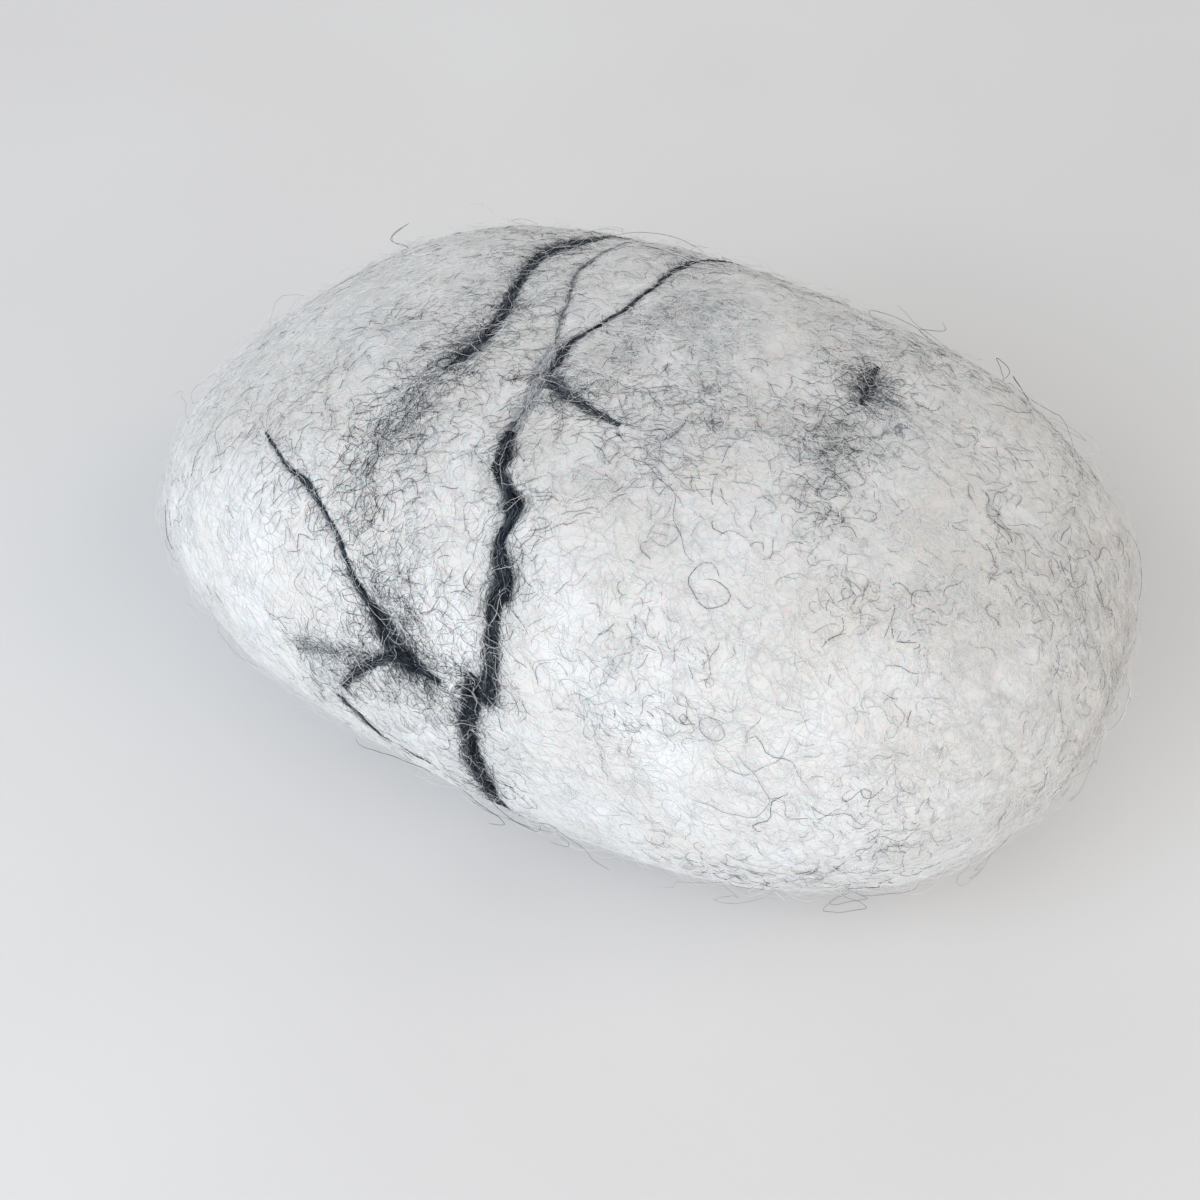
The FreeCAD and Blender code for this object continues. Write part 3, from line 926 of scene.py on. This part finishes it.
def make_pebble():
    """Every visible piece of the pebble."""
    smooth = Skin(smooth_pebble(), SMOOTH_STEP)
    jacket_mesh = felt_skin(smooth, lock_tree(lay_routes(smooth)))
    jacket = show("felt_jacket", jacket_mesh, [FELT])
    jacket_mesh.shade_smooth()
    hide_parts("outer_jacket")
    form = bmesh.new()
    form.from_mesh(jacket_mesh)
    felt = Skin(BVHTree.FromBMesh(form), FELT_STEP)
    form.free()
    routes = lay_routes(felt)
    locks = lock_tree(routes)
    pieces = [jacket, lay_veil(felt), lay_tangles(felt), curl_small_nests(felt),
              lay_long_curls(felt), raise_strays(felt)]
    for number, (name, strands) in enumerate(routes.items()):
        pieces += lay_lock(felt, name, strands, number)
    for number, (name, (stations, per_mm, curl, mix)) in enumerate(TRAILS.items()):
        route = lay_strands(felt, [stations])
        pieces.append(fray(felt, "trail", number, name, route, per_mm, curl, mix))
    pieces += [lay_white_coat(felt, locks, number + 1) for number in range(COAT_PIECES)]
    pieces += [scatter_dark_hairs(felt, number + 1) for number in range(HAIR_PIECES)]
    pieces += [raise_fuzz(felt, "short_fuzz", number, FUZZ_FIBRES, 1.3, [WHITE])
               for number in range(FUZZ_PIECES)]
    pieces.append(raise_fuzz(felt, "long_fuzz", 0, LONG_FUZZ_FIBRES, 3.0, [WHITE, SILVER]))
    for piece in pieces:
        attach(piece, "root")


def line_the_inside():
    """Finishes for the wool that is sealed inside the jacket."""
    batt = carded_batt("undyed_carded_batt", "#ece8dc", "#d8d2c2", 1.2)
    core = carded_batt("rolled_core_wool", "#e2dccb", "#cbc3ae", 0.8)
    for name, finish in (("crosswise_layer", batt), ("lengthwise_layer", batt),
                         ("core_batting", core)):
        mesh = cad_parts[name].data
        mesh.materials.clear()
        mesh.materials.append(finish)


# ---------------------------------------------------------------- studio

# Sizes and places in metres.
TABLE_REACH = 8.0
CAMERA_DISTANCE = 0.188
CAMERA_AIM = (0.0014, -0.0101, 0)      # from the pebble's middle
CAMERA_TURN, CAMERA_RISE = 31, 46      # degrees round from the front, and above the table
LENS = 60                              # millimetres
WALL_GLOW = 0.46

# Each light: its place, the side of its square, its watts and its colour.
LIGHTS = {
    "window": ((-0.10, -0.60, 0.34), 0.7, 4.6, "#f2f7ff"),
    "bounce": ((0.9, 0.0, 0.6), 1.2, 5.0, "#ffeddb"),
    "far_wall": ((-0.6, 1.0, 0.7), 1.4, 3.2, "#f6f8fa"),
}


def lay_table():
    """Plain pale table under the pebble."""
    top = bmesh.new()
    bmesh.ops.create_grid(top, x_segments=4, y_segments=4, size=TABLE_REACH)
    mesh = bpy.data.meshes.new("table_top")
    top.to_mesh(mesh)
    top.free()
    show("table_top", mesh, [satin_laminate()])


def point_at(thing, place_at, target):
    """Sets a light or camera at a place, facing a target."""
    thing.location = place_at
    thing.rotation_euler = (target - place_at).to_track_quat("-Z", "Y").to_euler()
    bpy.context.scene.collection.objects.link(thing)


def light_studio(target):
    """A large window to the left and front, and pale walls all round."""
    for name, (place_at, side, watts, glow) in LIGHTS.items():
        lamp = bpy.data.lights.new(name, "AREA")
        lamp.energy, lamp.size = watts, side
        lamp.color = colour(glow)[:3]
        point_at(bpy.data.objects.new(name, lamp), Vector(place_at), target)
    world = bpy.data.worlds.new("pale_walls")
    world.use_nodes = True
    wall = world.node_tree.nodes["Background"]
    wall.inputs["Color"].default_value = colour("#eef0f2")
    wall.inputs["Strength"].default_value = WALL_GLOW
    bpy.context.scene.world = world
    bpy.context.scene.view_settings.view_transform = "Standard"


def set_camera():
    """Looks down on the front of the pebble, with its broad end nearer."""
    turn, rise = math.radians(CAMERA_TURN), math.radians(CAMERA_RISE)
    back = Vector((math.sin(turn) * math.cos(rise), -math.cos(turn) * math.cos(rise),
                   math.sin(rise)))
    aim = Vector(MIDDLE) + Vector(CAMERA_AIM)
    lens = bpy.data.cameras.new("camera")
    lens.lens = LENS
    lens.clip_start = 10 * MM
    camera = bpy.data.objects.new("camera", lens)
    point_at(camera, aim + back * CAMERA_DISTANCE, aim)
    bpy.context.scene.camera = camera


set_camera()
light_studio(Vector(MIDDLE))
lay_table()
line_the_inside()
make_pebble()
